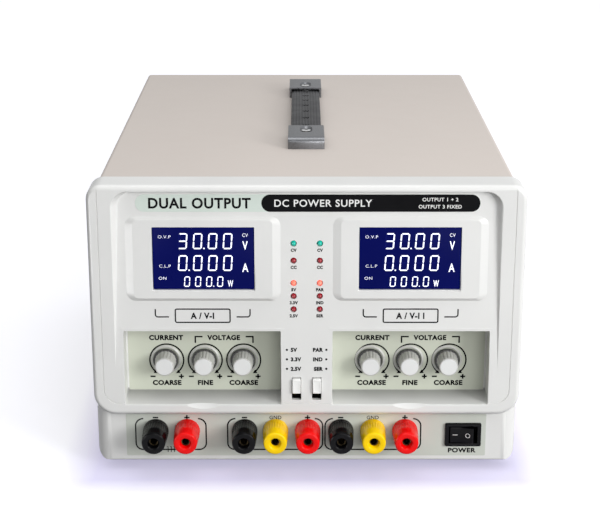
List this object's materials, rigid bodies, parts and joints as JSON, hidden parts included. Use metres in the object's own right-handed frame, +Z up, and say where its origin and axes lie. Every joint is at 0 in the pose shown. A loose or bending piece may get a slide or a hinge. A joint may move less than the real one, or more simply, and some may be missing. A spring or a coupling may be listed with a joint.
{
  "type": "bench power supply",
  "caption": "Benchtop DC power supply: steel case, moulded front with displays, knobs and screw-down terminals, carrying strap and rear fan.",
  "frame": {"origin": "bottom centre of the bounding box, on the surface that the feet stand on", "axes": "+X to the instrument's right as its user sees it, +Y from the front panel to the back, +Z up"},
  "size_m": [0.267, 0.3664, 0.1971],
  "materials": {
    "cover_paint": "fine textured powder coat, warm grey",
    "ivory_plastic": "satin moulded plastic, off-white",
    "zinc_steel": "zinc plated sheet steel",
    "rubber": "matt moulded rubber",
    "strap_rubber": "ribbed matt rubber over a steel band",
    "cap_steel": "brushed pressed steel",
    "screw_steel": "bright plated screw",
    "display": "backlit deep blue liquid crystal display",
    "circuit_board": "green solder mask",
    "white_plastic": "glossy white moulding",
    "knob_grey": "satin light grey moulding",
    "black_plastic": "semi-gloss black moulding",
    "red_plastic": "glossy red moulding",
    "yellow_plastic": "glossy yellow moulding",
    "nickel_plate": "nickel plated brass",
    "fan_plastic": "matt black glass-filled moulding",
    "core_iron": "varnished steel laminations",
    "aluminium": "extruded, natural finish"
  },
  "bodies": {
    "root": {"base_chassis": "zinc_steel", "top_cover": "cover_paint", "rear_panel": "zinc_steel", "front_bezel": "ivory_plastic", "lower_fascia": "ivory_plastic", "foot_front_left": "rubber", "foot_front_right": "rubber", "foot_rear_left": "rubber", "foot_rear_right": "rubber", "handle_cap_front": "cap_steel", "handle_cap_rear": "cap_steel", "handle_screw_front": "screw_steel", "handle_screw_rear": "screw_steel", "lcd_module_left": "display", "control_board_left": "circuit_board", "lcd_module_right": "display", "control_board_right": "circuit_board", "indicator_board": "circuit_board", "terminal_post_1": "nickel_plate", "terminal_post_2": "nickel_plate", "terminal_post_3": "nickel_plate", "terminal_post_4": "nickel_plate", "terminal_post_5": "nickel_plate", "terminal_post_6": "nickel_plate", "terminal_post_7": "nickel_plate", "terminal_post_8": "nickel_plate", "power_switch_body": "black_plastic", "fan_frame": "fan_plastic", "power_inlet": "black_plastic", "transformer": "core_iron", "heatsink": "aluminium", "main_board": "circuit_board"},
    "knob_left_current_body": {"knob_left_current": "knob_grey"},
    "knob_left_voltage_fine_body": {"knob_left_voltage_fine": "knob_grey"},
    "knob_left_voltage_coarse_body": {"knob_left_voltage_coarse": "knob_grey"},
    "knob_right_current_body": {"knob_right_current": "knob_grey"},
    "knob_right_voltage_fine_body": {"knob_right_voltage_fine": "knob_grey"},
    "knob_right_voltage_coarse_body": {"knob_right_voltage_coarse": "knob_grey"},
    "bush_1_body": {"terminal_bush_1": "nickel_plate"},
    "cap_1_body": {"terminal_cap_1_black": "black_plastic"},
    "bush_2_body": {"terminal_bush_2": "nickel_plate"},
    "cap_2_body": {"terminal_cap_2_red": "red_plastic"},
    "bush_3_body": {"terminal_bush_3": "nickel_plate"},
    "cap_3_body": {"terminal_cap_3_black": "black_plastic"},
    "bush_4_body": {"terminal_bush_4": "nickel_plate"},
    "cap_4_body": {"terminal_cap_4_yellow": "yellow_plastic"},
    "bush_5_body": {"terminal_bush_5": "nickel_plate"},
    "cap_5_body": {"terminal_cap_5_red": "red_plastic"},
    "bush_6_body": {"terminal_bush_6": "nickel_plate"},
    "cap_6_body": {"terminal_cap_6_black": "black_plastic"},
    "bush_7_body": {"terminal_bush_7": "nickel_plate"},
    "cap_7_body": {"terminal_cap_7_yellow": "yellow_plastic"},
    "bush_8_body": {"terminal_bush_8": "nickel_plate"},
    "cap_8_body": {"terminal_cap_8_red": "red_plastic"},
    "selector_output_voltage_body": {"selector_output_voltage": "white_plastic"},
    "selector_tracking_mode_body": {"selector_tracking_mode": "white_plastic"},
    "rocker_body": {"power_rocker": "black_plastic"},
    "impeller_body": {"fan_impeller": "fan_plastic"},
    "fuse_drawer_body": {"fuse_drawer": "black_plastic"},
    "strap_body": {"handle_strap": "strap_rubber"}
  },
  "joints": [
    {"name": "turn_knob_left_current", "type": "hinge", "parent": "root", "child": "knob_left_current_body", "pos_m": [-0.0889, -0.1558, 0.071], "axis": [0, -1, 0], "range_deg": [-150, 150]},
    {"name": "turn_knob_left_voltage_fine", "type": "hinge", "parent": "root", "child": "knob_left_voltage_fine_body", "pos_m": [-0.0645, -0.1558, 0.071], "axis": [0, -1, 0], "range_deg": [-150, 150]},
    {"name": "turn_knob_left_voltage_coarse", "type": "hinge", "parent": "root", "child": "knob_left_voltage_coarse_body", "pos_m": [-0.0401, -0.1558, 0.071], "axis": [0, -1, 0], "range_deg": [-150, 150]},
    {"name": "turn_knob_right_current", "type": "hinge", "parent": "root", "child": "knob_right_current_body", "pos_m": [0.0401, -0.1558, 0.071], "axis": [0, -1, 0], "range_deg": [-150, 150]},
    {"name": "turn_knob_right_voltage_fine", "type": "hinge", "parent": "root", "child": "knob_right_voltage_fine_body", "pos_m": [0.0645, -0.1558, 0.071], "axis": [0, -1, 0], "range_deg": [-150, 150]},
    {"name": "turn_knob_right_voltage_coarse", "type": "hinge", "parent": "root", "child": "knob_right_voltage_coarse_body", "pos_m": [0.0889, -0.1558, 0.071], "axis": [0, -1, 0], "range_deg": [-150, 150]},
    {"name": "unscrew_travel_1", "type": "slide", "parent": "root", "child": "bush_1_body", "axis": [0, -1, 0], "range_m": [0, 0.0035]},
    {"name": "unscrew_turn_1", "type": "hinge", "parent": "bush_1_body", "child": "cap_1_body", "pos_m": [-0.0956, -0.1728, 0.0264], "axis": [0, -1, 0], "range_deg": [0, 1800]},
    {"name": "unscrew_travel_2", "type": "slide", "parent": "root", "child": "bush_2_body", "axis": [0, -1, 0], "range_m": [0, 0.0035]},
    {"name": "unscrew_turn_2", "type": "hinge", "parent": "bush_2_body", "child": "cap_2_body", "pos_m": [-0.0757, -0.1728, 0.0264], "axis": [0, -1, 0], "range_deg": [0, 1800]},
    {"name": "unscrew_travel_3", "type": "slide", "parent": "root", "child": "bush_3_body", "axis": [0, -1, 0], "range_m": [0, 0.0035]},
    {"name": "unscrew_turn_3", "type": "hinge", "parent": "bush_3_body", "child": "cap_3_body", "pos_m": [-0.0392, -0.1728, 0.0264], "axis": [0, -1, 0], "range_deg": [0, 1800]},
    {"name": "unscrew_travel_4", "type": "slide", "parent": "root", "child": "bush_4_body", "axis": [0, -1, 0], "range_m": [0, 0.0035]},
    {"name": "unscrew_turn_4", "type": "hinge", "parent": "bush_4_body", "child": "cap_4_body", "pos_m": [-0.0196, -0.1728, 0.0264], "axis": [0, -1, 0], "range_deg": [0, 1800]},
    {"name": "unscrew_travel_5", "type": "slide", "parent": "root", "child": "bush_5_body", "axis": [0, -1, 0], "range_m": [0, 0.0035]},
    {"name": "unscrew_turn_5", "type": "hinge", "parent": "bush_5_body", "child": "cap_5_body", "pos_m": [0.0008, -0.1728, 0.0264], "axis": [0, -1, 0], "range_deg": [0, 1800]},
    {"name": "unscrew_travel_6", "type": "slide", "parent": "root", "child": "bush_6_body", "axis": [0, -1, 0], "range_m": [0, 0.0035]},
    {"name": "unscrew_turn_6", "type": "hinge", "parent": "bush_6_body", "child": "cap_6_body", "pos_m": [0.0218, -0.1728, 0.0264], "axis": [0, -1, 0], "range_deg": [0, 1800]},
    {"name": "unscrew_travel_7", "type": "slide", "parent": "root", "child": "bush_7_body", "axis": [0, -1, 0], "range_m": [0, 0.0035]},
    {"name": "unscrew_turn_7", "type": "hinge", "parent": "bush_7_body", "child": "cap_7_body", "pos_m": [0.0421, -0.1728, 0.0264], "axis": [0, -1, 0], "range_deg": [0, 1800]},
    {"name": "unscrew_travel_8", "type": "slide", "parent": "root", "child": "bush_8_body", "axis": [0, -1, 0], "range_m": [0, 0.0035]},
    {"name": "unscrew_turn_8", "type": "hinge", "parent": "bush_8_body", "child": "cap_8_body", "pos_m": [0.0625, -0.1728, 0.0264], "axis": [0, -1, 0], "range_deg": [0, 1800]},
    {"name": "slide_output_voltage", "type": "slide", "parent": "root", "child": "selector_output_voltage_body", "axis": [0, 0, -1], "range_m": [0, 0.0045]},
    {"name": "slide_tracking_mode", "type": "slide", "parent": "root", "child": "selector_tracking_mode_body", "axis": [0, 0, -1], "range_m": [0, 0.0045]},
    {"name": "power_rock", "type": "hinge", "parent": "root", "child": "rocker_body", "pos_m": [0.0995, -0.1573, 0.024], "axis": [0, 0, 1], "range_deg": [0, 15]},
    {"name": "fan_spin", "type": "hinge", "parent": "root", "child": "impeller_body", "pos_m": [-0.062, 0.1625, 0.104], "axis": [0, 1, 0], "continuous": true},
    {"name": "fuse_drawer_slide", "type": "slide", "parent": "root", "child": "fuse_drawer_body", "axis": [0, 1, 0], "range_m": [0, 0.016]},
    {"name": "strap_lift", "type": "slide", "parent": "root", "child": "strap_body", "axis": [0, 0, 1], "range_m": [0, 0.02], "deforming": ["handle_strap"]}
  ],
  "couplings": [
    {"joint": "unscrew_turn_1", "follows": "unscrew_travel_1", "rad_per_m": 8976},
    {"joint": "unscrew_turn_2", "follows": "unscrew_travel_2", "rad_per_m": 8976},
    {"joint": "unscrew_turn_3", "follows": "unscrew_travel_3", "rad_per_m": 8976},
    {"joint": "unscrew_turn_4", "follows": "unscrew_travel_4", "rad_per_m": 8976},
    {"joint": "unscrew_turn_5", "follows": "unscrew_travel_5", "rad_per_m": 8976},
    {"joint": "unscrew_turn_6", "follows": "unscrew_travel_6", "rad_per_m": 8976},
    {"joint": "unscrew_turn_7", "follows": "unscrew_travel_7", "rad_per_m": 8976},
    {"joint": "unscrew_turn_8", "follows": "unscrew_travel_8", "rad_per_m": 8976}
  ]
}
